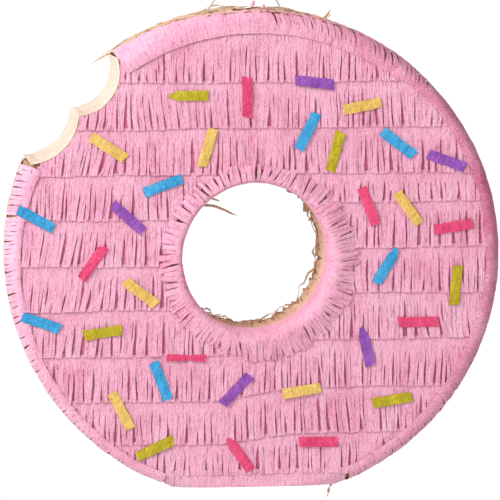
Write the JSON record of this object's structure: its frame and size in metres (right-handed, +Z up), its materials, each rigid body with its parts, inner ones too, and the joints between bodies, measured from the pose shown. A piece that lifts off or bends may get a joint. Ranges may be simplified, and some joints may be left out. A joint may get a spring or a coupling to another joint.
{
  "type": "pinata",
  "caption": "Large flat donut pinata with a bitten edge, fringed pink tissue icing, paper sprinkles, a tan back and a cord loop to hang it by.",
  "frame": {"origin": "inside top of the hanging loop, where a hook bears", "axes": "+X across the face to the viewer's right, +Y from the iced front to the tan back, +Z up"},
  "size_m": [0.406, 0.0792, 0.4611],
  "materials": {
    "card": "matte",
    "paper_tape": "matte",
    "cord": "matte",
    "pink_tissue": "matte",
    "tan_tissue": "matte",
    "cream_paper": "matte",
    "yellow_paper": "matte",
    "lime_paper": "matte",
    "rose_paper": "matte",
    "purple_paper": "matte",
    "blue_paper": "matte"
  },
  "bodies": {
    "hanger": {"hanging_cord": "cord", "loop_knot": "cord"},
    "carcass": {"front_panel": "card", "back_panel": "card", "rim_wall": "card", "base_wall": "card", "bite_wall": "card", "hole_tube": "card", "hanger_plate": "card", "front_seam_tape": "paper_tape", "back_seam_tape": "paper_tape", "flap_tape_upper": "paper_tape", "stopper_knots": "cord", "cord_tails": "cord", "pink_top_strip": "pink_tissue", "pink_row_1": "pink_tissue", "pink_row_2": "pink_tissue", "pink_row_3": "pink_tissue", "pink_row_4_left": "pink_tissue", "pink_row_5_left": "pink_tissue", "pink_row_6_left": "pink_tissue", "pink_row_7_left": "pink_tissue", "pink_row_4_right": "pink_tissue", "pink_row_5_right": "pink_tissue", "pink_row_6_right": "pink_tissue", "pink_row_7_right": "pink_tissue", "pink_row_8": "pink_tissue", "pink_row_9": "pink_tissue", "pink_row_10": "pink_tissue", "pink_base_strip": "pink_tissue", "pink_rim_wrap": "pink_tissue", "pink_hole_collar": "pink_tissue", "tan_row_1": "tan_tissue", "tan_row_2": "tan_tissue", "tan_row_3": "tan_tissue", "tan_row_4": "tan_tissue", "tan_row_5": "tan_tissue", "tan_row_6": "tan_tissue", "tan_row_7": "tan_tissue", "tan_row_8": "tan_tissue", "tan_row_9": "tan_tissue", "tan_row_10": "tan_tissue", "tan_rim_wrap": "tan_tissue", "tan_hole_wrap": "tan_tissue", "tan_base_strip": "tan_tissue", "cream_bite_cover": "cream_paper", "yellow_sprinkles": "yellow_paper", "lime_sprinkles": "lime_paper", "rose_sprinkles": "rose_paper", "purple_sprinkles": "purple_paper", "blue_sprinkles": "blue_paper"},
    "flap": {"fill_flap": "card", "flap_cover": "tan_tissue", "flap_tape_lower": "paper_tape", "flap_pull_tab": "cream_paper"}
  },
  "joints": [
    {"name": "carcass_swing", "type": "hinge", "parent": "hanger", "child": "carcass", "pos_m": [0, 0, -0.067], "axis": [1, 0, 0], "range_deg": [-45, 45]},
    {"name": "flap_hinge", "type": "hinge", "parent": "carcass", "child": "flap", "pos_m": [0, 0.0387, -0.101], "axis": [1, 0, 0], "range_deg": [0, 120]}
  ]
}
